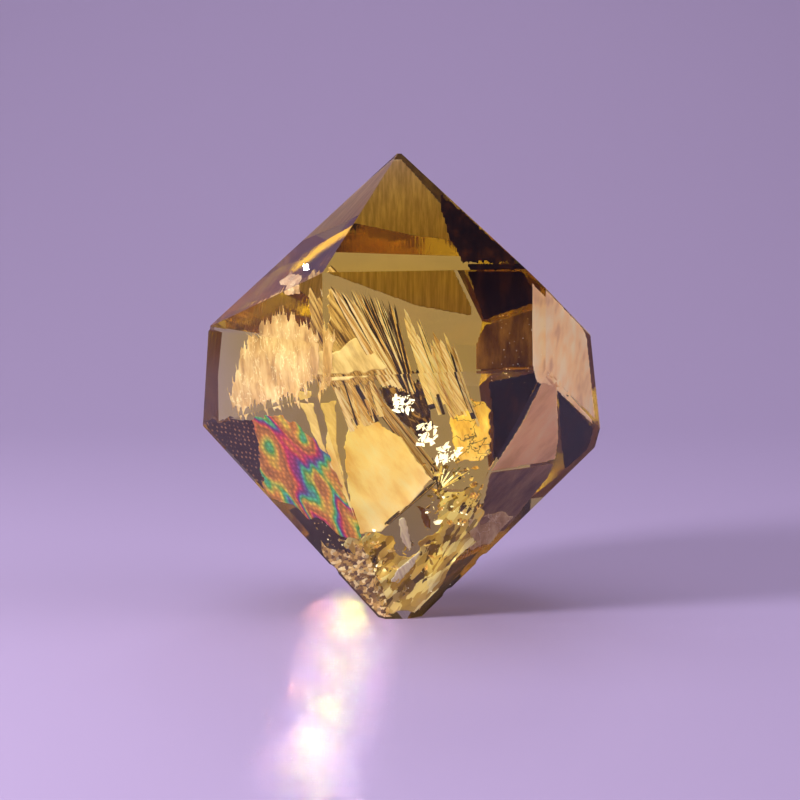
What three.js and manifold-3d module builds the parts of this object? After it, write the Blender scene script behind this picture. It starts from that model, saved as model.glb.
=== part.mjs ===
// A citrine: one golden-brown quartz crystal with a point at each end, every face ground flat and polished.
// The lower point is ground off square, and the stone stands on that small flat.
//
// Millimetres, +Z up. The origin is the middle of the ground flat, and the widest side face looks along -Y.

import * as THREE from 'three';
import { mergeVertices } from 'three/addons/utils/BufferGeometryUtils.js';
import Module from 'manifold-3d';

// Driving dimensions. Each face is set out as a cutter sets it on the wheel:
//   bearing  degrees round the stone to where the face looks, 0 at the front (-Y), 90 at the right (+X)
//   lift     degrees that it looks up (+) or down (-) from level
//   reach    millimetres from the heart of the stone to the face, square to it
const HEART = new THREE.Vector3(-0.65, 1.25, 27.9);
const APEX = new THREE.Vector3(-0.2, -0.6, 58);
const APEX_WEAR = 0.25;
const ROUGH_SIZE = 90;

const SIDE = {
  front: { bearing: 1.5, lift: 0.5, reach: 18.4 },
  right: { bearing: 59.5, lift: 0.5, reach: 24.2 },
  backRight: { bearing: 124, lift: 12.5, reach: 16.7 },
  back: { bearing: 182, lift: 11.5, reach: 14 },
  backLeft: { bearing: 232, lift: 7.5, reach: 20.9 },
  left: { bearing: 305.5, lift: 0, reach: 17.6 },
};

// The faces of the upper point all meet at the apex, so their reach follows from it.
const UPPER = {
  front: { bearing: 0.5, lift: 51 },
  right: { bearing: 94, lift: 46 },
  backRight: { bearing: 123, lift: 36.5 },
  back: { bearing: 180.5, lift: 32 },
  backLeft: { bearing: 242.5, lift: 46.5 },
  left: { bearing: 286.5, lift: 44.5 },
};

const LOWER = {
  front: { bearing: 2.5, lift: -24.5, reach: 14.7 },
  right: { bearing: 36.5, lift: -32.5, reach: 18 },
  backRight: { bearing: 116, lift: -40.5, reach: 19.7 },
  back: { bearing: 186, lift: -35, reach: 17.6 },
  backLeft: { bearing: 236, lift: -43.5, reach: 19.5 },
  left: { bearing: 313, lift: -27, reach: 15.6 },
};

// Shell-shaped nicks knocked out of the edge between two faces, at a height above the foot.
// The hollow is part of a sphere of that radius, and depth is how far it bites in past the edge.
const NICKS = [
  { edge: [SIDE.right, LOWER.right], height: 32.4, radius: 0.9, depth: 0.22 },
  { edge: [SIDE.right, LOWER.right], height: 31.2, radius: 1.3, depth: 0.3 },
  { edge: [SIDE.right, LOWER.right], height: 29.6, radius: 0.7, depth: 0.18 },
  { edge: [SIDE.left, UPPER.left], height: 35.9, radius: 0.8, depth: 0.3 },
  { edge: [LOWER.front, LOWER.left], height: 3.4, radius: 1.4, depth: 0.35 },
  { edge: [LOWER.front, LOWER.right], height: 5.2, radius: 1.8, depth: 0.3 },
  { edge: [LOWER.right, LOWER.backRight], height: 7.5, radius: 1.6, depth: 0.35 },
  { edge: [LOWER.right, LOWER.backRight], height: 3.2, radius: 1.2, depth: 0.3 },
  { edge: [LOWER.backLeft, LOWER.left], height: 5.8, radius: 1.5, depth: 0.3 },
];

const wasm = await Module();
wasm.setup();

/** Turns a closed geometry into a solid that can be cut. */
function solidFrom(geometry) {
  const bare = geometry.clone();
  bare.deleteAttribute('normal');
  bare.deleteAttribute('uv');
  const merged = mergeVertices(bare);
  const vertProperties = new Float32Array(merged.attributes.position.array);
  const triVerts = new Uint32Array(merged.index.array);
  return new wasm.Manifold(new wasm.Mesh({ numProp: 3, vertProperties, triVerts }));
}

/** Turns a finished solid back into a flat-shaded geometry. */
function geometryFrom(solid) {
  const mesh = solid.getMesh();
  const indexed = new THREE.BufferGeometry();
  indexed.setAttribute('position', new THREE.BufferAttribute(mesh.vertProperties, 3));
  indexed.setIndex(new THREE.BufferAttribute(mesh.triVerts, 1));
  const flat = indexed.toNonIndexed();
  flat.computeVertexNormals();
  return flat;
}

/** The unit vector that a face looks along. */
function outlook({ bearing, lift }) {
  const turn = THREE.MathUtils.degToRad(bearing);
  const rise = THREE.MathUtils.degToRad(lift);
  const level = Math.cos(rise);
  return new THREE.Vector3(level * Math.sin(turn), -level * Math.cos(turn), Math.sin(rise));
}

/** A point on a face: at its reach from the heart or, with none, the apex. */
function pointOn(face) {
  return face.reach === undefined ? APEX : HEART.clone().addScaledVector(outlook(face), face.reach);
}

/** A block whose lower side lies on the plane through a point, square to a direction: what the wheel takes away. */
function waste(point, direction) {
  const block = new THREE.BoxGeometry(2 * ROUGH_SIZE, 2 * ROUGH_SIZE, ROUGH_SIZE);
  block.translate(0, 0, ROUGH_SIZE / 2);
  block.applyQuaternion(new THREE.Quaternion().setFromUnitVectors(new THREE.Vector3(0, 0, 1), direction));
  block.translate(point.x, point.y, point.z);
  return solidFrom(block);
}

/** The point where the edge between two faces passes a height. */
function edgePoint([one, other], height) {
  const a = outlook(one);
  const b = outlook(other);
  const reachA = a.dot(pointOn(one)) - a.z * height;
  const reachB = b.dot(pointOn(other)) - b.z * height;
  const spread = a.x * b.y - a.y * b.x;
  const x = (reachA * b.y - reachB * a.y) / spread;
  const y = (reachB * a.x - reachA * b.x) / spread;
  return new THREE.Vector3(x, y, height);
}

/** The ball that knocks a nick out of an edge. */
function nickBall({ edge, height, radius, depth }) {
  const outwards = outlook(edge[0]).add(outlook(edge[1])).normalize();
  const centre = edgePoint(edge, height).addScaledVector(outwards, radius - depth);
  const ball = new THREE.SphereGeometry(radius, 16, 10);
  ball.translate(centre.x, centre.y, centre.z);
  return solidFrom(ball);
}

function cutCrystal() {
  const rough = new THREE.BoxGeometry(ROUGH_SIZE, ROUGH_SIZE, ROUGH_SIZE);
  rough.translate(HEART.x, HEART.y, HEART.z);
  let stone = solidFrom(rough);
  for (const faces of [SIDE, UPPER, LOWER]) {
    for (const face of Object.values(faces)) {
      stone = stone.subtract(waste(pointOn(face), outlook(face)));
    }
  }
  const up = new THREE.Vector3(0, 0, 1);
  stone = stone.subtract(waste(APEX.clone().addScaledVector(up, -APEX_WEAR), up));
  stone = stone.subtract(waste(new THREE.Vector3(0, 0, 0), up.clone().negate()));
  for (const nick of NICKS) {
    stone = stone.subtract(nickBall(nick));
  }
  return stone;
}

const CITRINE = new THREE.MeshStandardMaterial({
  color: 0xc9a24e,
  roughness: 0.05,
  metalness: 0,
  transparent: true,
  opacity: 0.7,
});

const crystal = new THREE.Mesh(geometryFrom(cutCrystal()), CITRINE);
crystal.name = 'citrine_crystal';

const group = new THREE.Group();
group.add(crystal);

export default group;
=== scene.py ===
"""A polished citrine point, with the cracks, veils and rainbow film sealed inside it, on a pale lilac card."""

import logging
import math
import random
from dataclasses import dataclass, field
from enum import Enum

import bmesh
import bpy
from mathutils import Matrix, Vector, noise


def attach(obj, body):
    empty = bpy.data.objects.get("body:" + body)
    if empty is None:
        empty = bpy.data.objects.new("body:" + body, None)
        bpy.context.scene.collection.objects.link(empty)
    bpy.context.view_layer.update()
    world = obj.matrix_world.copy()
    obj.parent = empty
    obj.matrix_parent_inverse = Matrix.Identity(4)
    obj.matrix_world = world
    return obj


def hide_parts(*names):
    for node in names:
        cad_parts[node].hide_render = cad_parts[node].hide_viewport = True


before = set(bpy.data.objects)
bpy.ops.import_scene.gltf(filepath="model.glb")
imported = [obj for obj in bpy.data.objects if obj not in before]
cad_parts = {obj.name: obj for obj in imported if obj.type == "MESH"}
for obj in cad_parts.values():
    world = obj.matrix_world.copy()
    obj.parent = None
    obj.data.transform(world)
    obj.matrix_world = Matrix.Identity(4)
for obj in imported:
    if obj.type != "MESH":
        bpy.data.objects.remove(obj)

LOG = logging.getLogger("citrine")
MM = 0.001  # metres in a millimetre
NODE = "citrine_crystal"
BODY = "root"
NOISE_SEED = 7  # ragged rims come out the same every time; without it they follow the clock
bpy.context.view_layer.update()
Point = tuple[float, float, float]


def linear(code: str) -> tuple[float, float, float, float]:
    """Turns an sRGB hex code into linear light.

    Args:
        code: six hex digits, red first.

    Returns:
        Linear red, green and blue, and an alpha of 1.
    """
    parts = [int(code[i:i + 2], 16) / 255 for i in (0, 2, 4)]
    light = [p / 12.92 if p <= 0.04045 else ((p + 0.055) / 1.055) ** 2.4 for p in parts]
    return (light[0], light[1], light[2], 1.0)


def add_node(tree: bpy.types.NodeTree, kind: str, settings: dict | None = None, links: dict | None = None,
             stops: tuple[tuple[float, str], ...] = ()) -> bpy.types.Node:
    """Adds one node, sets it and links it.

    Args:
        tree: the node tree it goes in.
        kind: the node's type name.
        settings: a value for each attribute or input, by name, or by number where names repeat.
        links: the output socket that feeds each input, by name or number.
        stops: a colour ramp's places and colours, in order.

    Returns:
        The node.
    """
    node = tree.nodes.new(kind)
    for number, (place, colour) in enumerate(stops):
        if number > 1:
            node.color_ramp.elements.new(1.0)
        stop = node.color_ramp.elements[number]
        stop.position = place
        stop.color = linear(colour)
    for key, value in (settings or {}).items():
        if isinstance(key, str) and hasattr(node, key):
            setattr(node, key, value)
        else:
            node.inputs[key].default_value = value
    for key, socket in (links or {}).items():
        tree.links.new(socket, node.inputs[key])
    return node


def new_material(name: str) -> tuple[bpy.types.Material, bpy.types.NodeTree, bpy.types.Node]:
    """Starts an empty node material.

    Args:
        name: the material's name.

    Returns:
        The material, its node tree and its output node.
    """
    material = bpy.data.materials.new(name)
    material.use_nodes = True
    tree = material.node_tree
    tree.nodes.clear()
    return material, tree, tree.nodes.new("ShaderNodeOutputMaterial")


def mm(*values: float) -> Vector:
    """A point or size given in millimetres, in metres."""
    return Vector(values) * MM


def islands(bm: bmesh.types.BMesh) -> list[list[bmesh.types.BMFace]]:
    """Sorts a mesh's faces into the parts that hang together.

    Args:
        bm: the mesh.

    Returns:
        The faces of each part.
    """
    reached = set()
    parts = []
    for start in bm.faces:
        if start in reached:
            continue
        part = [start]
        reached.add(start)
        for face in part:
            for other in [f for edge in face.edges for f in edge.link_faces]:
                if other not in reached:
                    reached.add(other)
                    part.append(other)
        parts.append(part)
    return parts


def face_outward(bm: bmesh.types.BMesh) -> None:
    """Turns every closed part's faces outward.

    Args:
        bm: the mesh.
    """
    bmesh.ops.recalc_face_normals(bm, faces=bm.faces)
    bm.normal_update()
    for part in islands(bm):
        if sum(f.calc_center_median().dot(f.normal) * f.calc_area() for f in part) < 0:
            bmesh.ops.reverse_faces(bm, faces=part)


def publish(bm: bmesh.types.BMesh, name: str, materials: list[bpy.types.Material]) -> bpy.types.Object:
    """Turns a finished bmesh into a piece of the stone.

    Args:
        bm: the mesh, in its place and in millimetres; it is freed.
        name: the piece's name.
        materials: its material slots in order.

    Returns:
        The new object, which rides on the stone's body.
    """
    face_outward(bm)
    bmesh.ops.scale(bm, vec=(MM, MM, MM), verts=bm.verts)
    mesh = bpy.data.meshes.new(name)
    bm.to_mesh(mesh)
    bm.free()
    for material in materials:
        mesh.materials.append(material)
    piece = bpy.data.objects.new(name, mesh)
    bpy.context.scene.collection.objects.link(piece)
    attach(piece, BODY)
    LOG.info("%s: %d faces", name, len(mesh.polygons))
    return piece


@dataclass(frozen=True)
class ClearCitrine:
    """Clear quartz, coloured golden brown all through, cut and polished: it bends and darkens what shows through."""

    ior: float = 1.55  # quartz, 1.544 to 1.553
    roughness: float = 0.0
    tint: str = "fcf377"  # what a millimetre-long path keeps of each colour, at the density below
    density: float = 90.0
    striae: Point = (0.25, 6.0, 25.0)  # mm, the fine upright growth lines on the back faces
    striae_depth: float = 0.012  # mm
    striae_from: float = 6.0  # mm behind the middle, where they begin
    striae_fade: float = 2.0  # mm over which they come to their full depth
    lamp_in: float = 0.12  # how much of a lamp's light falls straight through the stone onto the card
    lamp_out: float = 0.95  # how much of it reaches what is sealed inside

    def make(self) -> bpy.types.Material:
        """Builds the material.

        Returns:
            The finished material.
        """
        material, tree, out = new_material("polished_citrine")
        surface = add_node(tree, "ShaderNodeBsdfPrincipled", {
            "Base Color": (1, 1, 1, 1),
            "Transmission Weight": 1.0,
            "IOR": self.ior,
            "Roughness": self.roughness,
        })
        place = add_node(tree, "ShaderNodeTexCoord")
        sized = add_node(tree, "ShaderNodeMapping", {"Scale": tuple(1 / (g * MM) for g in self.striae)},
                         {"Vector": place.outputs["Object"]})
        lines = add_node(tree, "ShaderNodeTexNoise", {"Scale": 1.0, "Detail": 2.0}, {"Vector": sized.outputs["Vector"]})
        depth = add_node(tree, "ShaderNodeSeparateXYZ", {}, {"Vector": place.outputs["Object"]})
        behind = add_node(tree, "ShaderNodeMapRange",
                          {"From Min": self.striae_from * MM, "From Max": (self.striae_from + self.striae_fade) * MM},
                          {"Value": depth.outputs["Y"]})
        bump = add_node(tree, "ShaderNodeBump", {"Distance": self.striae_depth * MM},
                        {"Height": lines.outputs[0], "Strength": behind.outputs["Result"]})
        tree.links.new(bump.outputs["Normal"], surface.inputs["Normal"])
        inside = add_node(tree, "ShaderNodeVolumeAbsorption", {
            "Color": linear(self.tint),
            "Density": self.density,
        })
        ray = add_node(tree, "ShaderNodeLightPath")
        side = add_node(tree, "ShaderNodeNewGeometry")
        share = add_node(tree, "ShaderNodeMapRange", {"To Min": self.lamp_in, "To Max": self.lamp_out},
                         {"Value": side.outputs["Backfacing"]})
        passed = add_node(tree, "ShaderNodeBsdfTransparent", {}, {"Color": share.outputs["Result"]})
        both = add_node(tree, "ShaderNodeMixShader", {}, {
            "Fac": ray.outputs["Is Shadow Ray"],
            1: surface.outputs["BSDF"],
            2: passed.outputs["BSDF"],
        })
        tree.links.new(both.outputs["Shader"], out.inputs["Surface"])
        tree.links.new(inside.outputs["Volume"], out.inputs["Volume"])
        return material


@dataclass
class Stone:
    """The crystal itself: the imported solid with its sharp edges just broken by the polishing."""

    weld: float = 0.002  # mm between corners that are one
    flatness: float = 0.2  # degrees between triangles of one polished face
    edge_break: float = 0.12  # mm, across the polished-off corner of an edge
    least_edge: float = 1.5  # mm, shorter edges belong to chips and stay sharp
    least_fold: float = 4.0  # degrees between two faces
    least_wall: float = 1.0  # mm2, smaller faces belong to chips
    finish: ClearCitrine = field(default_factory=ClearCitrine)
    walls: list[tuple[Vector, Vector]] = field(default_factory=list)

    def holds(self, place: Vector, margin: float) -> bool:
        """Tells whether a point is well inside the stone.

        Args:
            place: the point, in mm.
            margin: how far from every polished face it must be, in mm.

        Returns:
            True if it is.
        """
        return all(out.dot(spot - place) > margin for out, spot in self.walls)

    def build(self) -> bpy.types.Object:
        """Builds the clear stone in place of the CAD solid.

        Returns:
            The finished piece.
        """
        bm = bmesh.new()
        bm.from_mesh(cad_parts[NODE].data)
        bmesh.ops.scale(bm, vec=(1 / MM, 1 / MM, 1 / MM), verts=bm.verts)
        bmesh.ops.remove_doubles(bm, verts=bm.verts, dist=self.weld)
        bmesh.ops.dissolve_limit(bm, angle_limit=math.radians(self.flatness), verts=bm.verts, edges=bm.edges)
        self.walls = [(f.normal.copy(), f.calc_center_median()) for f in bm.faces if f.calc_area() > self.least_wall]
        edges = [e for e in bm.edges if e.calc_length() > self.least_edge
                 and e.calc_face_angle(0) > math.radians(self.least_fold)]
        bmesh.ops.bevel(bm, geom=edges, offset=self.edge_break, offset_type="WIDTH", segments=2,
                        profile=0.5, affect="EDGES", clamp_overlap=True, material=-1)
        piece = publish(bm, "clear_stone", [self.finish.make()])
        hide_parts(NODE)
        return piece


@dataclass(frozen=True)
class CrackFace:
    """One face of a crack: the light its film of air throws back is painted into its colour, as painted reflection and
    painted shade, so it looks silky, golden or nearly black.
    """

    name: str
    ramp: tuple[tuple[float, str], ...]  # colours over the pattern's height
    grain: Point = (2.0, 2.0, 2.0)  # mm, the pattern's size across, through and along
    turn: float = 0.0  # degrees from upright that the grain leans, its foot to the right
    swirl: float = 0.0  # how far the pattern is stirred
    shattered: bool = False  # whether it breaks into flat shards instead of clouds
    shard_stray: float = 1.2  # how far the cloud bends the shards' edges
    detail: float = 5.0  # how many finer clouds lie over the first
    roughness: float = 0.35
    gloss: float = 0.5  # 0 for a dull look with no shine of its own, as on the painted-shade sheets
    painted_glint_glow: float = 0.0  # how brightly it glows: a painted glint that stands in for a lamp thrown back
    vein: str = ""  # colour of the finer cracks that branch over it, if any
    vein_gap: float = 3.0  # mm between those cracks
    vein_width: float = 0.03  # share of the gap
    vein_run: Point = (1.0, 1.0, 1.0)  # how far they are drawn out across, through and along the grain
    vein_stray: float = 2.2  # how far they are bent
    relief: float = 0.0  # mm

    def make(self) -> bpy.types.Material:
        """Builds the material.

        Returns:
            The finished material.
        """
        material, tree, out = new_material(self.name)
        place = add_node(tree, "ShaderNodeTexCoord")
        turned = add_node(tree, "ShaderNodeMapping", {"Rotation": (0, math.radians(self.turn), 0)},
                          {"Vector": place.outputs["Object"]})
        sized = add_node(tree, "ShaderNodeMapping", {"Scale": tuple(1 / (g * MM) for g in self.grain)},
                         {"Vector": turned.outputs["Vector"]})
        cloud = add_node(tree, "ShaderNodeTexNoise",
                         {"Scale": 1.0, "Detail": self.detail, "Roughness": 0.6, "Distortion": self.swirl},
                         {"Vector": sized.outputs["Vector"]})
        pattern = cloud.outputs[0]
        if self.shattered:
            strayed = add_node(tree, "ShaderNodeVectorMath", {"operation": "MULTIPLY_ADD", 1: (self.shard_stray,) * 3},
                               {0: cloud.outputs["Color"], 2: sized.outputs["Vector"]})
            shards = add_node(tree, "ShaderNodeTexVoronoi", {"Scale": 1.0}, {"Vector": strayed.outputs["Vector"]})
            pattern = add_node(tree, "ShaderNodeSeparateXYZ", {}, {"Vector": shards.outputs["Color"]}).outputs["X"]
        shade = add_node(tree, "ShaderNodeValToRGB", {}, {"Fac": pattern}, self.ramp)
        colour = shade.outputs["Color"]
        if self.vein:
            drawn = add_node(tree, "ShaderNodeMapping",
                             {"Scale": tuple(1 / (self.vein_gap * k * MM) for k in self.vein_run)},
                             {"Vector": turned.outputs["Vector"]})
            stray = add_node(tree, "ShaderNodeTexNoise", {"Scale": 0.9, "Detail": 4.0, "Roughness": 0.65},
                             {"Vector": drawn.outputs["Vector"]})
            bent = add_node(tree, "ShaderNodeVectorMath", {"operation": "MULTIPLY_ADD", 1: (self.vein_stray,) * 3},
                            {0: stray.outputs["Color"], 2: drawn.outputs["Vector"]})
            net = add_node(tree, "ShaderNodeTexVoronoi", {"feature": "DISTANCE_TO_EDGE", "Scale": 1.0},
                           {"Vector": bent.outputs["Vector"]})
            line = add_node(tree, "ShaderNodeMapRange", {"From Max": self.vein_width},
                            {"Value": net.outputs["Distance"]})
            colour = add_node(tree, "ShaderNodeMix", {"data_type": "RGBA", 6: linear(self.vein)},
                              {0: line.outputs["Result"], 7: colour}).outputs[2]
        surface = add_node(tree, "ShaderNodeBsdfPrincipled",
                           {"Roughness": self.roughness, "Specular IOR Level": self.gloss,
                            "Emission Strength": self.painted_glint_glow}, {"Base Color": colour, "Emission Color": colour})
        if self.relief:
            bump = add_node(tree, "ShaderNodeBump", {"Distance": self.relief * MM}, {"Height": pattern})
            tree.links.new(bump.outputs["Normal"], surface.inputs["Normal"])
        tree.links.new(surface.outputs["BSDF"], out.inputs["Surface"])
        return material


@dataclass(frozen=True)
class RainbowFilm:
    """A crack whose film of air is as thin as light is long: its thickness shows as contours of colour, painted
    interference colours, a painted sheen in its base colour.
    """

    contour: Point = (5.5, 7.0, 12.0)  # mm, how far the film's thickness wanders over
    turn: float = 35.0  # degrees from upright that the contours lean
    orders: float = 5.6  # how many times the colours come round from no film to the thickest
    dimple: float = 0.62  # mm between the little pits in the crack's face, as coarse as they need to be to show
    dimple_rim: tuple[float, float] = (0.2, 0.6)  # share of that, from a pit's middle to its rim's edges
    dimple_shade: float = 0.55  # how bright the ground between the pits is, painted shade round each pit
    roughness: float = 0.3
    gloss: float = 0.1
    bands: tuple[tuple[float, str], ...] = (
        (0.0, "a86c30"), (0.2, "e09440"), (0.32, "e8d04c"), (0.42, "5cb054"), (0.5, "58c8a0"), (0.58, "5c68b0"),
        (0.68, "903c8c"), (0.78, "d84068"), (0.9, "e88440"), (1.0, "a86c30"))

    def make(self) -> bpy.types.Material:
        """Builds the material.

        Returns:
            The finished material.
        """
        material, tree, out = new_material("rainbow_film")
        place = add_node(tree, "ShaderNodeTexCoord")
        turned = add_node(tree, "ShaderNodeMapping", {"Rotation": (0, math.radians(self.turn), 0)},
                          {"Vector": place.outputs["Object"]})
        sized = add_node(tree, "ShaderNodeMapping", {"Scale": tuple(1 / (c * MM) for c in self.contour)},
                         {"Vector": turned.outputs["Vector"]})
        swell = add_node(tree, "ShaderNodeTexNoise",
                         {"Scale": 1.0, "Detail": 2.0, "Roughness": 0.35, "Distortion": 0.3},
                         {"Vector": sized.outputs["Vector"]})
        count = add_node(tree, "ShaderNodeMath", {"operation": "MULTIPLY", 1: self.orders}, {0: swell.outputs[0]})
        order = add_node(tree, "ShaderNodeMath", {"operation": "FRACT"}, {0: count.outputs[0]})
        shade = add_node(tree, "ShaderNodeValToRGB", {}, {"Fac": order.outputs[0]}, self.bands)
        pits = add_node(tree, "ShaderNodeTexVoronoi", {"Scale": 1 / (self.dimple * MM), "Randomness": 0.35},
                        {"Vector": place.outputs["Object"]})
        # painted shade: darkens the ground between the pits
        inner, outer = self.dimple_rim
        dark = add_node(tree, "ShaderNodeMapRange",
                        {"From Min": inner, "From Max": outer, "To Min": 1.0, "To Max": self.dimple_shade},
                        {"Value": pits.outputs["Distance"]})
        colour = add_node(tree, "ShaderNodeVectorMath", {"operation": "MULTIPLY"},
                          {0: shade.outputs["Color"], 1: dark.outputs["Result"]})
        surface = add_node(tree, "ShaderNodeBsdfPrincipled",
                           {"Roughness": self.roughness, "Specular IOR Level": self.gloss},
                           {"Base Color": colour.outputs["Vector"]})
        tree.links.new(surface.outputs["BSDF"], out.inputs["Surface"])
        return material


@dataclass(frozen=True)
class DimpledFace:
    """A healed crack, brown, with rows of tiny pits, each painted with a point of light."""

    pitch: float = 0.62  # mm
    rim: tuple[float, float] = (0.2, 0.34)  # share of the pitch, from a pit's middle to its rim's edges
    ground: str = "2c160c"
    # the pits' colour is a painted point of light
    pit_painted_light: str = "a07048"
    roughness: float = 0.6
    gloss: float = 0.05

    def make(self) -> bpy.types.Material:
        """Builds the material.

        Returns:
            The finished material.
        """
        material, tree, out = new_material("dimpled_crack")
        place = add_node(tree, "ShaderNodeTexCoord")
        pits = add_node(tree, "ShaderNodeTexVoronoi", {"Scale": 1 / (self.pitch * MM), "Randomness": 0.3},
                        {"Vector": place.outputs["Object"]})
        shade = add_node(tree, "ShaderNodeValToRGB", {}, {"Fac": pits.outputs["Distance"]},
                         ((0.0, self.pit_painted_light), (self.rim[0], self.pit_painted_light), (self.rim[1], self.ground), (1.0, self.ground)))
        surface = add_node(tree, "ShaderNodeBsdfPrincipled",
                           {"Roughness": self.roughness, "Specular IOR Level": self.gloss},
                           {"Base Color": shade.outputs["Color"]})
        tree.links.new(surface.outputs["BSDF"], out.inputs["Surface"])
        return material


class Tone(Enum):
    """The finishes that splinters, flakes and chips share."""

    CREAM = CrackFace("cream_crack", ((0.35, "c49a62"), (0.5, "ffe8bc"), (0.65, "fffaf0")), (0.16, 2.0, 5.0), 33,
                      roughness=0.3)
    GOLD = CrackFace("gold_crack", ((0.35, "8a6430"), (0.5, "dcb068"), (0.65, "ffe4a8")), (0.16, 2.0, 5.0), 33,
                     roughness=0.3)
    DARK = CrackFace("shaded_crack", ((0.4, "150b06"), (0.55, "33200f"), (0.7, "8a6238")), (0.12, 2.0, 6.0), 33,
                     roughness=0.35)
    OLIVE = CrackFace("olive_crack", ((0.3, "3a2c10"), (0.5, "8f7436"), (0.7, "d9bc72")), (1.0, 1.0, 1.0), swirl=1.0,
                      roughness=0.22)
    # painted glints: white, with a glow that paints a lamp's highlight
    GLINT = CrackFace("painted_glint_crack", ((0.3, "ffffff"), (0.7, "fffaf4")), (1.0, 1.0, 1.0), roughness=0.2, painted_glint_glow=0.5)
    # painted light: undersides made pale where light from behind would reach them
    LIT_UNDERSIDE = CrackFace("painted_lit_underside", ((0.3, "b8965c"), (0.7, "f4dcaa")), (1.5, 1.5, 1.5), roughness=0.4)
    # painted shade: the dark undersides of cracks
    SHADED_UNDERSIDE = CrackFace("painted_shaded_underside", ((0.3, "4a3414"), (0.7, "8a6a30")), (2.0, 2.0, 2.0), roughness=0.4)


def trim_rim(bm: bmesh.types.BMesh) -> None:
    """Takes stray edges and the slivers that hang by one corner off a sheet, so that its rim is one clean line.

    Args:
        bm: the open patches.
    """
    bmesh.ops.delete(bm, geom=[e for e in bm.edges if e.is_wire], context="EDGES")
    bmesh.ops.delete(bm, geom=[v for v in bm.verts if not v.link_faces], context="VERTS")
    while pinched := [v for v in bm.verts if sum(e.is_boundary for e in v.link_edges) > 2]:
        slivers = dict.fromkeys(min(v.link_faces, key=lambda f: f.calc_area()) for v in pinched)
        bmesh.ops.delete(bm, geom=list(slivers), context="FACES")


def thicken(bm: bmesh.types.BMesh, front: Vector, thickness: float, underside: int) -> None:
    """Gives cracks a hair of thickness, and a finish of painted shade or painted light to the sides that look into the
    stone.

    Args:
        bm: the open patches.
        front: the way their bright sides look.
        thickness: in mm.
        underside: the undersides' material, by its place in the piece's list.
    """
    trim_rim(bm)
    bm.normal_update()
    for part in islands(bm):
        if sum(f.normal.dot(front) for f in part) < 0:
            bmesh.ops.reverse_faces(bm, faces=part)
    shell = bmesh.ops.solidify(bm, geom=bm.faces[:], thickness=thickness)
    for face in [g for g in shell["geom"] if isinstance(g, bmesh.types.BMFace)]:
        face.material_index = underside


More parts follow.
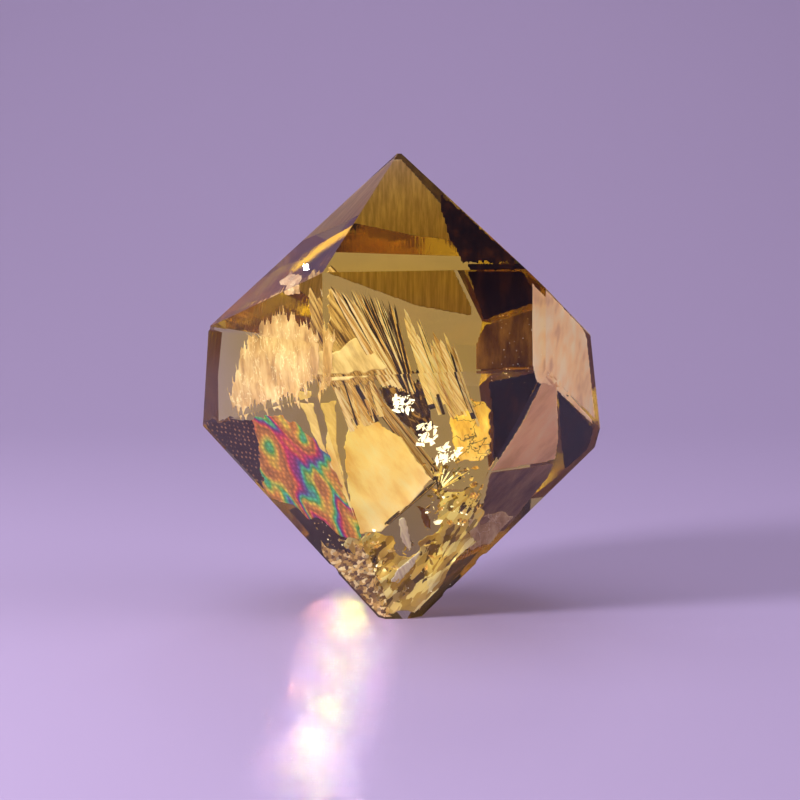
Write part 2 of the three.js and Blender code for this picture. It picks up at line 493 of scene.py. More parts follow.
@dataclass
class Sheet:
    """One crack: a ragged patch of a plane inside the stone, rippled and a hair thick."""

    name: str
    finish: CrackFace | RainbowFilm | DimpledFace
    centre: Point  # mm
    faces: Point  # the way its front looks
    outline: tuple[tuple[float, float], ...]  # mm to the right of the centre and up, seen from its front
    room: float = 1.0  # mm of mesh beyond the outline, for its rim to stray over
    ripple: float = 0.12  # mm high
    ripple_length: float = 3.0  # mm
    ragged: float = 0.5  # mm that its rim strays
    bite: float = 1.3  # mm between one bite out of the rim and the next
    weave: float = 0.22  # mm, the mesh's step
    softening: int = 3  # how often the rim's steps are smoothed
    thickness: float = 0.03  # mm
    ring_gap: float = 0.0  # mm between rings, as in broken glass, if it has any
    ring_height: float = 0.08  # mm
    margin: float = 0.25  # mm that it keeps from the stone's faces
    streak: float = 0.0  # degrees from upright of the streaks that its rim breaks along, if it has any
    streak_width: float = 0.35  # mm
    # painted shade on the undersides, unless painted light is given
    underside: Tone = Tone.SHADED_UNDERSIDE

    def holds(self, u: float, v: float) -> bool:
        """Tells whether a point is inside the outline.

        Args:
            u: mm to the right of the centre.
            v: mm up from it.

        Returns:
            True inside the ragged outline.
        """
        shift = noise.noise_vector(Vector((u, v, len(self.name))) / self.bite) * self.ragged
        if self.streak:
            way = Vector((math.sin(math.radians(self.streak)), -math.cos(math.radians(self.streak)), 0))
            across = u * way.y - v * way.x
            fine = noise.noise(Vector((across / self.streak_width, 0, 0)))
            broad = noise.noise(Vector((across, 0, 5)))
            shift = way * self.ragged * (fine + broad)
        u, v = u + shift.x, v + shift.y
        inside = False
        for (u0, v0), (u1, v1) in zip(self.outline, self.outline[1:] + self.outline[:1]):
            if (v0 > v) != (v1 > v) and u < u0 + (v - v0) * (u1 - u0) / (v1 - v0):
                inside = not inside
        return inside

    def height(self, u: float, v: float) -> float:
        """Works out how far the sheet ripples off its plane at a point.

        Args:
            u: mm to the right of the centre.
            v: mm up from it.

        Returns:
            The height in mm.
        """
        rise = self.ripple * noise.noise(Vector((u, v, 7.0)) / self.ripple_length)
        if self.ring_gap:
            reach = math.hypot(u - self.outline[0][0], v - self.outline[0][1])
            rise += self.ring_height * math.sin(2 * math.pi * reach / self.ring_gap)
        return rise

    def build(self, stone: "Stone") -> bpy.types.Object:
        """Builds the crack.

        Args:
            stone: the stone it must stay inside.

        Returns:
            The finished piece.
        """
        us, vs = zip(*self.outline)
        low = Vector((min(us) - self.room, min(vs) - self.room, 0))
        high = Vector((max(us) + self.room, max(vs) + self.room, 0))
        size = high - low
        bm = bmesh.new()
        bmesh.ops.create_grid(bm, x_segments=int(size.x / self.weave), y_segments=int(size.y / self.weave), size=0.5)
        bmesh.ops.scale(bm, vec=(size.x, size.y, 1), verts=bm.verts)
        bmesh.ops.translate(bm, vec=(low + high) / 2, verts=bm.verts)
        outside = [f for f in bm.faces if not self.holds(*f.calc_center_median().xy)]
        bmesh.ops.delete(bm, geom=outside, context="FACES")
        for vert in bm.verts:
            vert.co.z = self.height(vert.co.x, vert.co.y)
        front = Vector(self.faces).normalized()
        right = Vector((0, 0, 1)).cross(front).normalized()
        turn = Matrix((right, front.cross(right), front)).transposed().to_4x4()
        bmesh.ops.transform(bm, matrix=Matrix.Translation(self.centre) @ turn, verts=bm.verts)
        bmesh.ops.delete(bm, geom=[v for v in bm.verts if not stone.holds(v.co, self.margin)], context="VERTS")
        for _ in range(self.softening):
            rim = [v for v in bm.verts if v.is_boundary]
            bmesh.ops.smooth_vert(bm, verts=rim, factor=0.5, use_axis_x=True, use_axis_y=True, use_axis_z=True)
        for face in bm.faces:
            face.smooth = True
        thicken(bm, front, self.thickness, 1)
        return publish(bm, self.name, [self.finish.make(), self.underside.value.make()])


@dataclass
class Spray:
    """Splinters side by side, each from a point near the tips' line to one near the roots' line."""

    name: str
    tips: tuple[Point, Point]  # mm, from the first splinter to the last
    roots: tuple[Point, Point]
    count: int
    widths: tuple[float, float]  # mm
    tones: dict[Tone, float]  # how much of each finish
    faces: Point = (-0.4, -0.88, 0.3)  # the way their flat sides look
    lean: float = 0.25  # how far that varies
    ragged: float = 0.8  # mm, how unevenly they start and end
    spread: float = 0.8  # mm, how far they lie behind one another
    cross: float = 0.06  # how far a splinter strays from its neighbours' direction
    shoulder: tuple[float, float] = (0.05, 0.3)  # share of its length over which a splinter widens
    heel: float = 0.08  # the same on its other side
    taper: tuple[float, float] = (0.7, 0.6)  # its width at the shoulder and at the heel, over its full width
    thickness: float = 0.03  # mm
    margin: float = 0.2  # mm that it keeps from the stone's faces
    seed: int = 1

    def build(self, stone: "Stone") -> bpy.types.Object:
        """Builds the splinters.

        Args:
            stone: the stone they must stay inside.

        Returns:
            The finished piece.
        """
        chance = random.Random(self.seed)
        tones = list(self.tones)
        bm = bmesh.new()
        for number in range(self.count):
            share = (number + chance.uniform(0, 1)) / self.count
            tip = Vector(self.tips[0]).lerp(Vector(self.tips[1]), share)
            root = Vector(self.roots[0]).lerp(Vector(self.roots[1]), share + chance.uniform(-self.cross, self.cross))
            way = (root - tip).normalized()
            deep = Vector((0, chance.uniform(0, self.spread), 0))
            tip += way * chance.uniform(-self.ragged, self.ragged) + deep
            root += way * chance.uniform(-self.ragged, self.ragged) + deep
            flat = Vector(self.faces) + Vector([chance.uniform(-self.lean, self.lean) for _ in range(3)])
            side = way.cross(flat).normalized() * chance.uniform(*self.widths) / 2
            length = (root - tip).length
            shoulder = tip + way * length * chance.uniform(*self.shoulder) + side * self.taper[0]
            heel = tip + way * length * self.heel - side * self.taper[1]
            corners = [tip, shoulder, root + side, root - side, heel]
            if not all(stone.holds(c, self.margin) for c in corners):
                continue
            face = bm.faces.new([bm.verts.new(c) for c in corners])
            face.material_index = tones.index(chance.choices(tones, list(self.tones.values()))[0])
        thicken(bm, Vector(self.faces), self.thickness, len(tones))
        return publish(bm, self.name, [t.value.make() for t in tones + [Tone.SHADED_UNDERSIDE]])


@dataclass
class Flakes:
    """Loose-looking cupped flakes and chips scattered through one part of the stone."""

    name: str
    centre: Point  # mm
    spread: Point  # mm, how far they lie from it each way
    count: int
    sizes: tuple[float, float]  # mm across
    tones: dict[Tone, float]  # how much of each finish
    faces: Point = (-0.38, -0.86, 0.35)  # the way most of them look
    lean: float = 0.6  # how far that varies
    twist: float = 6.3  # radians that one may be turned on its own middle, a full turn
    cup: float = 0.2  # how hollow they are, over their width
    corners: int = 6
    least_corner: float = 0.35  # how near a corner may be to the middle, over the furthest
    slim: float = 1.0  # their width over their length
    thickness: float = 0.02  # mm
    reach: float = 0.55  # what a flake takes up round its middle, over its width
    margin: float = 0.15  # mm that it keeps from the stone's faces
    underside: Tone = Tone.SHADED_UNDERSIDE
    seed: int = 1

    def build(self, stone: "Stone") -> bpy.types.Object:
        """Builds the flakes.

        Args:
            stone: the stone they must stay inside.

        Returns:
            The finished piece.
        """
        chance = random.Random(self.seed)
        tones = list(self.tones)
        bm = bmesh.new()
        for _ in range(self.count):
            across = chance.uniform(0, 1) ** 2 * (self.sizes[1] - self.sizes[0]) + self.sizes[0]
            place = Vector(self.centre) + Vector([s * chance.uniform(-1, 1) for s in self.spread])
            if not stone.holds(place, across * self.reach + self.margin):
                continue
            flat = Vector(self.faces) + Vector([chance.gauss(0, self.lean) for _ in range(3)])
            twist = Matrix.Rotation(chance.uniform(0, self.twist), 4, "Z")
            turn = flat.to_track_quat("Z", "Y").to_matrix().to_4x4() @ twist
            disc = bmesh.ops.create_circle(bm, cap_ends=True, cap_tris=True, segments=self.corners, radius=across / 2)
            for vert in disc["verts"]:
                if vert.co.length > across * 0.1:  # a corner, and not the middle
                    vert.co *= chance.uniform(self.least_corner, 1.0)
                    vert.co.y *= self.slim
                else:
                    vert.co.z -= across * self.cup
            tone = tones.index(chance.choices(tones, list(self.tones.values()))[0])
            for face in {f for v in disc["verts"] for f in v.link_faces}:
                face.material_index = tone
            bmesh.ops.transform(bm, matrix=Matrix.Translation(place) @ turn, verts=disc["verts"])
        thicken(bm, Vector(self.faces), self.thickness, len(tones))
        return publish(bm, self.name, [t.value.make() for t in tones + [self.underside]])


@dataclass
class Inclusions:
    """Everything sealed in the stone: cracks, veils, splinters, the rainbow film and the shattered tip."""

    def cracks(self) -> tuple[Sheet, ...]:
        """The larger cracks and veils.

        Returns:
            One sheet for each crack.
        """
        # Open cracks, cream to honey with a satin sheen: their colour is a painted reflection of the lamps in the air
        # film.
        amber = CrackFace("amber_crack", ((0.35, "f0c888"), (0.5, "ffe8b8"), (0.65, "fff6dc")), (3.0, 5.0, 9.0), 35,
                          roughness=0.4)
        veil = CrackFace("cream_veil", ((0.3, "8a6a4c"), (0.48, "caa680"), (0.65, "e8d2b0")), (1.6, 2.5, 7.0), 12,
                         roughness=0.4, vein="fff4e0", vein_gap=3.0, vein_width=0.02, vein_run=(0.6, 1.0, 2.2))
        bed = CrackFace("silk_bed", ((0.36, "4a2e16"), (0.46, "a88250"), (0.56, "dcb880"), (0.7, "f4dcae")),
                        (0.3, 2.0, 5.0), 34, roughness=0.35, vein="4a2e16", vein_gap=2.4, vein_width=0.015,
                        vein_run=(0.5, 1.0, 2.5))
        silk = CrackFace("silk_crack", ((0.3, "a88450"), (0.5, "d8bc88"), (0.7, "f0dcb0")), (1.0, 3.0, 6.0), 33)
        honey = CrackFace("honey_crack", ((0.35, "d09a48"), (0.5, "f6cf80"), (0.7, "ffe8b0")), (1.2, 3.0, 5.0), 15,
                          vein="1e1208", vein_gap=5.5, vein_width=0.03)
        # A sheet painted near black, a painted reflection of the dark; and breaks whose shards are painted light and
        # dark, each a painted reflection of something else.
        painted_dark = CrackFace("dark_hollow", ((0.4, "140c06"), (0.55, "4a3216"), (0.65, "c09a58")), (0.8, 2.0, 2.4), 30,
                           swirl=1.2, roughness=0.2)
        shell = CrackFace("shell_break", ((0.0, "3a280e"), (0.15, "8c6c34"), (0.35, "d0b070"), (0.5, "f4e4b0"),
                                          (0.65, "a8884a"), (0.85, "fff6d8"), (1.0, "6a5024")), (0.8, 2.0, 2.2), -38,
                          swirl=0.6, shattered=True, roughness=0.2, relief=0.1)
        # Sheets just under the faces, even and soft-edged, from peach to nearly black: painted light and painted shade
        # where the faces show lamp light or only dark.
        peach = CrackFace("peach_veil", ((0.3, "d0a494"), (0.48, "ffdcb8"), (0.65, "fff0dc")), (3.0, 3.0, 7.0), -38,
                          detail=2.0, roughness=0.45)
        painted_shade = CrackFace("painted_shade", ((0.35, "0a0401"), (0.5, "180902"), (0.7, "3a1c06")), (2.0, 3.0, 8.0), gloss=0.0)
        umber = CrackFace("umber", ((0.35, "3c2008"), (0.5, "644014"), (0.68, "94682c")), (2.0, 3.0, 7.0), gloss=0.0)
        tan = CrackFace("tan", ((0.35, "e8b888"), (0.5, "fcd0a4"), (0.68, "ffe4c0")), (3.0, 3.0, 8.0), -35)
        dusk = CrackFace("dusk", ((0.35, "6a4c40"), (0.5, "8c6c58"), (0.68, "b89078")), (2.5, 3.0, 8.0), -35,
                         gloss=0.1)
        # Small blades, a painted reflection of the card in pale lilac and white.
        pale = CrackFace("pale", ((0.35, "c8bcd4"), (0.5, "f0eaf4"), (0.7, "ffffff")), (0.4, 2.0, 3.0), 20,
                         roughness=0.2)
        # A crushed break, gold, with painted bright points of light.
        sparkle = CrackFace("sparkling_break", ((0.0, "4a3014"), (0.3, "7a5a28"), (0.5, "a88444"), (0.7, "d8b468"),
                                                (0.85, "fff0c0"), (1.0, "5c4418")), (0.35, 0.8, 0.8), -38, swirl=0.8,
                            shattered=True, roughness=0.2)
        # Growth lines, fine and upright, on an opaque sheet whose even gold tone is painted light, standing in for the
        # light seen through the stone.
        striae_and_light = CrackFace("striae_and_painted_light", ((0.36, "b4a088"), (0.5, "c8b298"), (0.64, "dcc8ae")), (0.45, 4.0, 40.0),
                           detail=3.0, gloss=0.0)
        return (
            Sheet("amber_crack", amber, (-1.3, -8.0, 20.7), (-0.42, -0.88, -0.2),
                  ((-4.5, 8), (-2, 7.5), (2, 4), (5.5, -1.5), (1.5, -5.5), (-2, -8.5), (-5, -9), (-6, -4), (-6, 3.5)),
                  ragged=0.3),
            Sheet("silk_bed", bed, (-4.3, -11.2, 36.6), (-0.15, -0.97, 0.15),
                  ((-4.5, 6), (-2.5, 4.6), (-1, 3.8), (1.8, 0), (4.2, -4.4), (-4.6, -5.2)), ragged=1.0, streak=33),
            Sheet("smooth_silk", silk, (-4.2, -13.4, 34.1), (-0.4, -0.9, 0.15),
                  ((-4.6, 1), (-3.6, 1), (-2, 2.4), (-0.5, 3), (3.4, -1.2), (-0.5, -1.5), (-4.5, -2)), ragged=0.4),
            Sheet("honey_crack", honey, (8.7, -8.5, 25.9), (-0.35, -0.9, 0.2),
                  ((-3, 4.5), (-1, 5), (1, 4), (2, 1.5), (2.5, -1.5), (2.5, -3.5), (0.5, -4.5), (-1.5, -4.5), (-3, -2),
                   (-3.5, 1)), ragged=0.9, ripple=0.4),
            # painted reflection of the dark: a near-black sheet
            Sheet("dark_hollow", painted_dark, (1.0, -9.0, 28.5), (-0.3, -0.95, -0.1),
                  ((-4, 3.4), (1.5, 3.8), (3, 2.5), (2.5, -3), (1.5, -4.5), (-1, -1.5), (-3, 1)), ragged=1.2,
                  streak=30),
            Sheet("side_veil", veil, (-12.1, -6.5, 33.2), (-0.8, -0.58, 0.12),
                  ((-1, 6), (1.5, 5.5), (5.5, 4.5), (7.5, 3), (6.5, -1.5), (3, -4), (-10.5, -7.5), (-12.5, -6),
                   (-10, 0), (-5, 4.5)), ragged=1.5, ripple=0.4, streak=14),
            # painted light: a peach sheet under the right face, standing in for lamp light seen through it
            Sheet("peach_veil", peach, (19.0, -9.9, 33.1), (0.862, -0.508, 0.01),
                  ((-8, 14), (8, 14), (12, -9.5), (9.3, -8.6), (-3.3, -1.8), (-8, -1.5)), ragged=0.0, margin=0.5),
            Sheet("rainbow_film", RainbowFilm(), (-12.3, -3.4, 17.9), (-0.66, -0.64, -0.38),
                  ((-5, 8.5), (0.5, 10), (4.5, 8.5), (8, 5), (8, 0.5), (8.5, -4), (8.5, -10), (6, -13), (1, -12),
                   (-4, -8.5), (-8, -4), (-7, 2)), ragged=0.7, margin=0.15),
            Sheet("dimpled_crack", DimpledFace(), (-21.5, 4.7, 20.3), (-0.66, -0.64, -0.40),
                  ((-4, 4), (8, 6), (6.5, 0), (4, -5.5), (10, -13), (14, -20), (10, -17), (3, -8), (-2, -2)),
                  ragged=0.4, margin=0.15),
            Sheet("cream_sliver", silk, (-7.8, -7.6, 24.8), (-0.62, -0.78, 0.0),
                  ((-2.5, 5), (0, 5.5), (0, 0), (1.5, -6), (1, -5.5), (-1, -1)), ragged=0.3),
            Sheet("shell_break", shell, (0.5, -1.6, 5.6), (-0.16, -0.98, -0.1),
                  ((-6.5, 5), (-4, 8), (-1.5, 5.5), (0.5, 3), (2, 5), (5, 8.5), (9, 5), (6, 0), (2, -4.8),
                   (-2.5, -4.8)), ragged=1.2, ripple=0.7, ring_gap=2.6, ring_height=0.12, underside=Tone.LIT_UNDERSIDE),
            Sheet("back_break", shell, (0.5, 1.5, 7.0), (-0.3, -0.9, 0.3),
                  ((-5, -1), (-2, 0.5), (2, -0.5), (5, 0.5), (3, -4), (-2, -5)), ragged=1.2, ripple=0.5, ring_gap=3.1,
                  underside=Tone.LIT_UNDERSIDE),
            Sheet("grey_break", shell, (6.6, -5.1, 15.9), (-0.31, -0.93, -0.21),
                  ((-2, 2.5), (3, 2.5), (3, -3.5), (-1, -5), (-2.5, -2)), ragged=1.2, ripple=0.4),
            # painted shade: dark sheets just under the faces where they mirror only dark
            Sheet("smoke_crown", painted_shade, (9.3, -11.4, 47.4), (0, -0.63, 0.777),
                  ((-4.5, 8), (-3, 6.5), (5, -4), (-2, -4), (-3.5, 0), (-4.5, 4.5)), ragged=1.0, streak=2),
            Sheet("smoke_upper", painted_shade, (12.1, -13.7, 41.7), (0, -1, 0.0),
                  ((-4.5, 3), (2, 3), (3.5, 0.5), (3.5, -1), (-2.5, -3), (-3.5, 0)), ragged=0.0),
            Sheet("smoke_lower", umber, (12.8, -13.7, 35.8), (0, -1, 0.0),
                  ((-3, 2.5), (3, 4.5), (3, -2.5), (-4, -3), (-4, 0.5)), ragged=0.0),
            Sheet("smoke_front", painted_shade, (13.5, -11.9, 28.3), (0.05, -0.91, -0.41),
                  ((-3.5, 4), (3, 5.5), (0.5, -2), (-2, -8), (-2.5, -6.5), (-2.5, -3), (-3, 1.5)), ragged=0.0),
            Sheet("smoke_side", painted_shade, (20.8, -5.6, 25.5), (0.46, -0.71, -0.54),
                  ((-5.5, 6.5), (4, -1.5), (4, -4.5), (1.5, -7.5), (-1.5, -2)), ragged=0.0),
            # painted light and painted shade: dusk and tan sheets under the lower right face, standing in for what it
            # reflects
            Sheet("dusk_side", dusk, (13.7, -4.1, 16.9), (0.46, -0.71, -0.54),
                  ((-5.5, 4), (4.5, 4), (4.5, 2), (1, -6.5), (-3, -6.5), (-4, -4)), ragged=0.0),
            Sheet("tan_side", veil, (11, -2.1, 11.8), (0.46, -0.71, -0.54),
                  ((-4.5, 2.5), (0, 3), (2.5, 2), (0.5, -2.5), (-2.5, -3)), ragged=0.4),
            Sheet("tan_front", tan, (15.7, -9.3, 25.4), (0.46, -0.71, -0.54),
                  ((-2, 9), (0.5, 7), (4.5, -2), (5.5, -5.5), (-4.5, -6), (-3.5, -2.5), (-2.5, 2)), ragged=0.0),
            # real growth lines on a sheet whose even gold tone is painted light
            Sheet("growth_veil", striae_and_light, (-0.3, 8.9, 41.4), (0.01, -0.85, -0.53),
                  ((-9, 18), (9, 18), (9, -4.6), (2, -3), (-9, 2)), ragged=0.0, ripple=0.0, margin=0.5),
            Sheet("left_break", sparkle, (-4.6, -3, 5.9), (-0.615, -0.604, -0.508),
                  ((-5, 6), (-2, 5), (1, 5.5), (3.5, 3), (3.5, -2), (2, -7.5), (0.5, -7.5), (-4, -3), (-6.5, 1)),
                  ragged=0.5, ripple=0.3, margin=0.12),
            Sheet("white_blade", pale, (0.5, -6, 11.9), (0.05, -0.91, -0.41),
                  ((-1, 2.5), (0, 2.5), (0.5, 0.5), (1, -2), (0.5, -2.5), (-0.5, -1)), ragged=0.1),
            Sheet("brown_blade", umber, (2.8, -6.8, 14.1), (0.05, -0.91, -0.41),
                  ((-1, 2), (0, 1.5), (1, -0.5), (1, -2), (0, -1), (-0.5, 0.5)), ragged=0.2),
            Sheet("lilac_gap", pale, (0.6, -4, 7.2), (0.05, -0.91, -0.41),
                  ((-2, -2), (-1, 0), (1.5, 2.5), (2, 2.5), (0.5, -0.5), (-1, -2.5)), ragged=0.1),
            Sheet("crown_wisp", veil, (-12.7, -8, 42.4), (-0.62, -0.31, 0.72),
                  ((-3.5, -0.5), (-2.5, 1.5), (3.5, 0.5), (4.5, -1), (2, -1.5)), ragged=0.5),
        )

    def splinters(self) -> tuple[Spray, ...]:
        """The sprays of splinters that run down and to the right.

        Returns:
            The sprays, from the top down.
        """
        return (
            Spray("tan_splinters", ((-8.1, -14.2, 42.1), (-5.6, -14.0, 41.3)),
                  ((-2.5, -13.5, 32.0), (-0.2, -13.5, 31.8)), 36, (0.12, 0.6),
                  {Tone.CREAM: 5, Tone.GOLD: 3, Tone.DARK: 1.5}, seed=3, cross=0.15),
            Spray("dark_splinters", ((-5.5, -13.6, 41.4), (-0.5, -13.6, 39.6)),
                  ((-0.5, -13.0, 31.8), (1.3, -13.0, 31.6)), 80, (0.07, 0.26),
                  {Tone.DARK: 6, Tone.GOLD: 2.0, Tone.CREAM: 2.0}, seed=4, ragged=1.3, cross=0.2),
            Spray("silk_splinters", ((0.0, -13.4, 39.4), (6.3, -13.0, 35.3)), ((3.2, -12.0, 29.5), (9.2, -10.5, 27.5)),
                  26, (0.2, 0.9), {Tone.CREAM: 6, Tone.GOLD: 3, Tone.DARK: 1.0}, seed=5, ragged=1.6, spread=1.5),
            Spray("gold_splinters", ((-8.5, -12.0, 32.2), (-3.4, -12.0, 32.0)),
                  ((-6.0, -11.0, 26.6), (-2.2, -10.6, 28.2)), 40, (0.15, 0.8),
                  {Tone.GOLD: 6, Tone.DARK: 0.8, Tone.CREAM: 3}, seed=6, ragged=1.0, cross=0.2),
            Spray("edge_splinters", ((-3.6, -10.6, 29.6), (-2.0, -10.6, 29.6)), ((3.5, -6.2, 19.4), (4.7, -6.0, 20.4)),
                  26, (0.08, 0.35), {Tone.DARK: 3, Tone.GOLD: 3, Tone.CREAM: 2}, seed=7, ragged=0.8, cross=0.2),
            Spray("foot_splinters", ((4.2, -6.4, 18.8), (4.2, -6.4, 19.4)), ((-1.8, -7.6, 13.0), (-1.6, -7.6, 13.8)),
                  8, (0.12, 0.35), {Tone.DARK: 4, Tone.GOLD: 1}, seed=8, ragged=0.5, spread=0.3),
            Spray("knot_splinters", ((3.0, -6.5, 22.5), (8.0, -7.0, 20.0)), ((4.3, -6.0, 18.6), (4.9, -6.0, 18.2)),
                  16, (0.1, 0.45), {Tone.DARK: 3, Tone.CREAM: 2, Tone.GLINT: 1}, seed=9, ragged=0.8, spread=0.6),
        )

    def flakes(self) -> tuple[Flakes, ...]:
        """The flakes of the shattered tip, the bright chips and the dust.

        Returns:
            The groups of flakes.
        """
        return (
            Flakes("tip_flakes", (0.5, -3.5, 5.5), (7.0, 4.0, 5.5), 300, (0.2, 2.2),
                   {Tone.OLIVE: 6, Tone.GOLD: 3, Tone.CREAM: 2.5, Tone.DARK: 2, Tone.GLINT: 0.8}, corners=5, slim=0.5,
                   underside=Tone.LIT_UNDERSIDE, seed=11),
            Flakes("left_flakes", (-6.5, -2.0, 8.0), (4.5, 4.0, 5.0), 240, (0.15, 1.4),
                   {Tone.OLIVE: 3, Tone.GOLD: 3, Tone.CREAM: 2, Tone.DARK: 2, Tone.GLINT: 1.2}, corners=5, slim=0.6,
                   underside=Tone.LIT_UNDERSIDE, seed=16),
            Flakes("knot_flakes", (6.0, -6.5, 17.0), (3.2, 1.8, 4.5), 150, (0.2, 1.9),
                   {Tone.OLIVE: 3, Tone.GOLD: 3, Tone.CREAM: 2, Tone.DARK: 2, Tone.GLINT: 1}, corners=5, slim=0.6,
                   seed=12),
            Flakes("upper_glints", (0.3, -13.4, 29.2), (1.2, 0.4, 1.1), 40, (0.4, 2.1), {Tone.GLINT: 1},
                   lean=0.25, corners=7, slim=0.45, seed=13),
            Flakes("middle_glints", (3.1, -11.4, 25.2), (1.0, 0.4, 1.6), 46, (0.4, 2.0), {Tone.GLINT: 1},
                   lean=0.25, corners=7, slim=0.45, seed=17),
            Flakes("lower_glints", (5.6, -10.0, 22.6), (1.5, 0.4, 1.1), 44, (0.4, 2.1), {Tone.GLINT: 1},
                   lean=0.25, corners=7, slim=0.45, seed=19),
            Flakes("amber_flaws", (-1.0, -6.6, 19.0), (2.5, 0.2, 2.5), 14, (0.2, 1.1), {Tone.DARK: 1}, lean=0.3,
                   slim=0.25, seed=18),
            Flakes("gold_dust", (14.0, -12.0, 35.5), (3.5, 3.5, 4.0), 160, (0.07, 0.16), {Tone.GOLD: 1, Tone.GLINT: 1},
                   lean=1.0, corners=4, seed=14),
            Flakes("fine_dust", (0.0, 0.0, 30.0), (24.0, 16.0, 26.0), 160, (0.05, 0.1), {Tone.CREAM: 1, Tone.DARK: 1},
                   lean=1.0, corners=4, seed=15),
        )

    def build(self, stone: "Stone") -> None:
        """Builds every inclusion.

        Args:
            stone: the stone that they are sealed in.
        """
        for piece in self.cracks() + self.splinters() + self.flakes():
            piece.build(stone).visible_shadow = False  # a crack bends light and doesn't stop it


@dataclass(frozen=True)
class LilacCard:
    """Matte sugar paper in pale lilac, with a fine tooth that breaks up the light."""

    colour: str = "ab99c4"
    grain: float = 0.35  # mm, coarser than real paper so that it shows
    tooth: float = 0.05  # mm deep
    tooth_strength: float = 0.25
    roughness: float = 0.75
    gloss: float = 0.3

    def make(self) -> bpy.types.Material:
        """Builds the material.

        Returns:
            The finished material.
        """
        material, tree, out = new_material("lilac_card")
        place = add_node(tree, "ShaderNodeTexCoord")
        tooth = add_node(tree, "ShaderNodeTexNoise", {"Scale": 1 / (self.grain * MM), "Detail": 3.0},
                         {"Vector": place.outputs["Object"]})
        bump = add_node(tree, "ShaderNodeBump", {"Strength": self.tooth_strength, "Distance": self.tooth * MM},
                        {"Height": tooth.outputs[0]})
        surface = add_node(tree, "ShaderNodeBsdfPrincipled", {
            "Base Color": linear(self.colour),
            "Roughness": self.roughness,
            "Specular IOR Level": self.gloss,
        }, {"Normal": bump.outputs["Normal"]})
        tree.links.new(surface.outputs["BSDF"], out.inputs["Surface"])
        return material


@dataclass
class Lamp:
    """One lamp, a soft panel that faces a point."""

    name: str
    place: Point  # mm
    aim: Point  # mm
    size: tuple[float, float]  # mm
    watts: float
    colour: str = "ffffff"
    mirrored: bool = True  # whether the polished faces show it
    spread: float = 180.0  # degrees, how far its beam opens

    def build(self) -> None:
        """Hangs the lamp."""
        data = bpy.data.lights.new(self.name, "AREA")
        data.shape = "RECTANGLE"
        data.size, data.size_y = (s * MM for s in self.size)
        data.spread = math.radians(self.spread)
        data.energy = self.watts
        data.color = linear(self.colour)[:3]
        lamp = bpy.data.objects.new(self.name, data)
        bpy.context.scene.collection.objects.link(lamp)
        lamp.visible_transmission = False
        lamp.visible_glossy = self.mirrored
        lamp.location = mm(*self.place)
        lamp.rotation_euler = (mm(*self.aim) - mm(*self.place)).to_track_quat("-Z", "Y").to_euler()


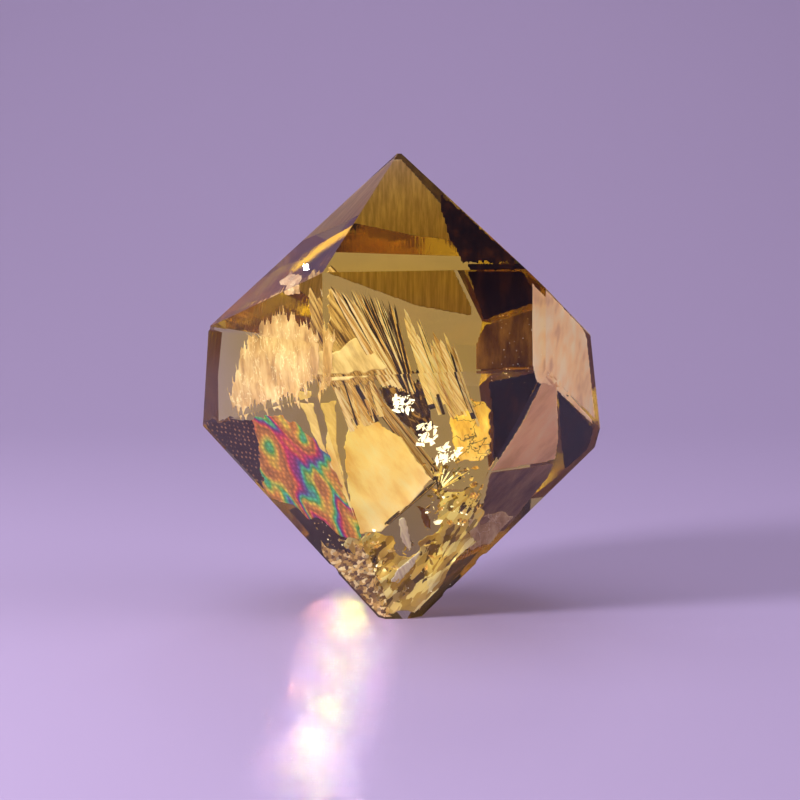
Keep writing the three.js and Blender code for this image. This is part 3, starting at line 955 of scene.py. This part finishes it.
@dataclass
class Studio:
    """The card sweep, the lamps, the light of the room and the camera."""

    card: LilacCard = field(default_factory=LilacCard)
    half_width: float = 900.0  # mm
    front: float = -900.0  # mm, the card's near edge
    bend_start: float = 150.0  # mm behind the stone where the card starts to rise
    bend_radius: float = 300.0  # mm
    bend_angle: float = 80.0  # degrees
    bend_steps: int = 40
    wall: float = 500.0  # mm of card above the bend
    wall_lean: float = 80.0  # mm that it leans back over that height
    wall_colour: str = "a08fbe"
    room_front: float = 0.02  # the room's light from the camera's side
    room_back: float = 0.5  # and from behind the stone
    room_turn: tuple[float, float] = (-0.6, 0.8)  # where, from front to back, the one gives way to the other
    room_seen: float = 0.8  # the room itself, where the card doesn't hide it
    bounces: int = 24  # how many faces light may pass on its way through the stone
    mirror_bounces: int = 16
    camera_place: Point = (-0.1, -273.2, 65.7)  # mm
    camera_tilt: float = 8.0  # degrees below level
    lens: float = 100.0  # mm
    sensor: float = 36.0  # mm
    lamps: tuple[Lamp, ...] = (
        Lamp("key_lamp", (-250, -150, 170), (0, 0, 25), (60, 60), 1.15, "fffaf4"),
        Lamp("sky_lamp", (-150, -60, 620), (-90, -60, 0), (600, 600), 2.2, mirrored=False),
        Lamp("back_lamp", (40, 280, 340), (0, 0, 30), (90, 90), 0.15, "fff8ee"),
        Lamp("side_lamp", (420, -120, 260), (0, 0, 30), (240, 240), 0.85, "fffaf4", mirrored=False),
        Lamp("star_lamp", (-146, 333, 136), (-11, -10, 45), (1.6, 1.6), 0.0015),
        Lamp("gold_streak", (-24, -420, 95), (-7, -24, 0), (3, 20), 0.011, "ffff59", spread=0.5),
        Lamp("red_streak", (-28, -420, 95), (-10.5, -26, 0), (3, 16), 0.001, "ff9a60", spread=0.8),
        Lamp("pale_streak", (-20, -420, 95), (-7, -34, 0), (7, 20), 0.0018, "fff0d0", spread=1.0),
    )

    def lay_card(self) -> None:
        """Lays the card flat under the stone and sweeps it up behind."""
        bm = bmesh.new()
        ends = [bm.verts.new(mm(x, self.front, 0)) for x in (-self.half_width, self.half_width)]
        edge = bm.edges.new(ends)
        flat = bmesh.ops.extrude_edge_only(bm, edges=[edge])["geom"]
        moved = [v for v in flat if isinstance(v, bmesh.types.BMVert)]
        bmesh.ops.translate(bm, verts=moved, vec=mm(0, self.bend_start - self.front, 0))
        far = [e for e in flat if isinstance(e, bmesh.types.BMEdge) and all(v in moved for v in e.verts)]
        bend = bmesh.ops.spin(bm, geom=moved + far, cent=mm(0, self.bend_start, self.bend_radius),
                              axis=(1, 0, 0), angle=math.radians(self.bend_angle), steps=self.bend_steps,
                              use_merge=False)
        last = [e for e in bend["geom_last"] if isinstance(e, bmesh.types.BMEdge)]
        top = bmesh.ops.extrude_edge_only(bm, edges=last)["geom"]
        bmesh.ops.translate(bm, verts=[v for v in top if isinstance(v, bmesh.types.BMVert)],
                            vec=mm(0, self.wall_lean, self.wall))
        for face in bm.faces:
            face.smooth = True
        mesh = bpy.data.meshes.new("lilac_card")
        bm.to_mesh(mesh)
        bm.free()
        mesh.materials.append(self.card.make())
        sweep = bpy.data.objects.new("lilac_card", mesh)
        bpy.context.scene.collection.objects.link(sweep)

    def light_room(self) -> None:
        """Gives the room its light: lilac where the card is, nearly dark on the camera's side."""
        world = bpy.data.worlds.new("room")
        world.use_nodes = True
        tree = world.node_tree
        tree.nodes.clear()
        out = add_node(tree, "ShaderNodeOutputWorld")
        way = add_node(tree, "ShaderNodeTexCoord")
        split = add_node(tree, "ShaderNodeSeparateXYZ", {}, {"Vector": way.outputs["Generated"]})
        depth = add_node(tree, "ShaderNodeMapRange", {
            "interpolation_type": "SMOOTHSTEP",
            "From Min": self.room_turn[0],
            "From Max": self.room_turn[1],
            "To Min": self.room_front,
            "To Max": self.room_back,
        }, {"Value": split.outputs["Y"]})
        ray = add_node(tree, "ShaderNodeLightPath")
        seen = add_node(tree, "ShaderNodeMix", {3: self.room_seen},
                        {0: ray.outputs["Is Camera Ray"], 2: depth.outputs["Result"]})
        sky = add_node(tree, "ShaderNodeBackground", {"Color": linear(self.wall_colour)},
                       {"Strength": seen.outputs[0]})
        tree.links.new(sky.outputs["Background"], out.inputs["Surface"])
        bpy.context.scene.world = world

    def set_camera(self) -> None:
        """Stands the camera level with the stone's upper half, looking slightly down."""
        data = bpy.data.cameras.new("camera")
        data.lens = self.lens
        data.sensor_width = self.sensor
        data.clip_start = 0.01
        camera = bpy.data.objects.new("camera", data)
        bpy.context.scene.collection.objects.link(camera)
        camera.location = mm(*self.camera_place)
        camera.rotation_euler = (math.radians(90 - self.camera_tilt), 0, 0)
        bpy.context.scene.camera = camera

    def build(self) -> None:
        """Sets up everything round the stone."""
        self.set_camera()
        self.lay_card()
        self.light_room()
        for lamp in self.lamps:
            lamp.build()
        scene = bpy.context.scene
        scene.view_settings.view_transform = "Standard"
        scene.cycles.blur_glossy = 0.0  # else the stone looks frosted to light that comes off the card
        scene.cycles.max_bounces = self.bounces
        scene.cycles.transmission_bounces = self.bounces
        scene.cycles.glossy_bounces = self.mirror_bounces
        scene.cycles.transparent_max_bounces = self.bounces


def main() -> None:
    """Builds the studio and the stone with everything sealed in it."""
    logging.basicConfig(level=logging.INFO, format="%(message)s")
    noise.seed_set(NOISE_SEED)
    Studio().build()
    stone = Stone()
    stone.build()
    Inclusions().build(stone)


if __name__ == "__main__":
    main()
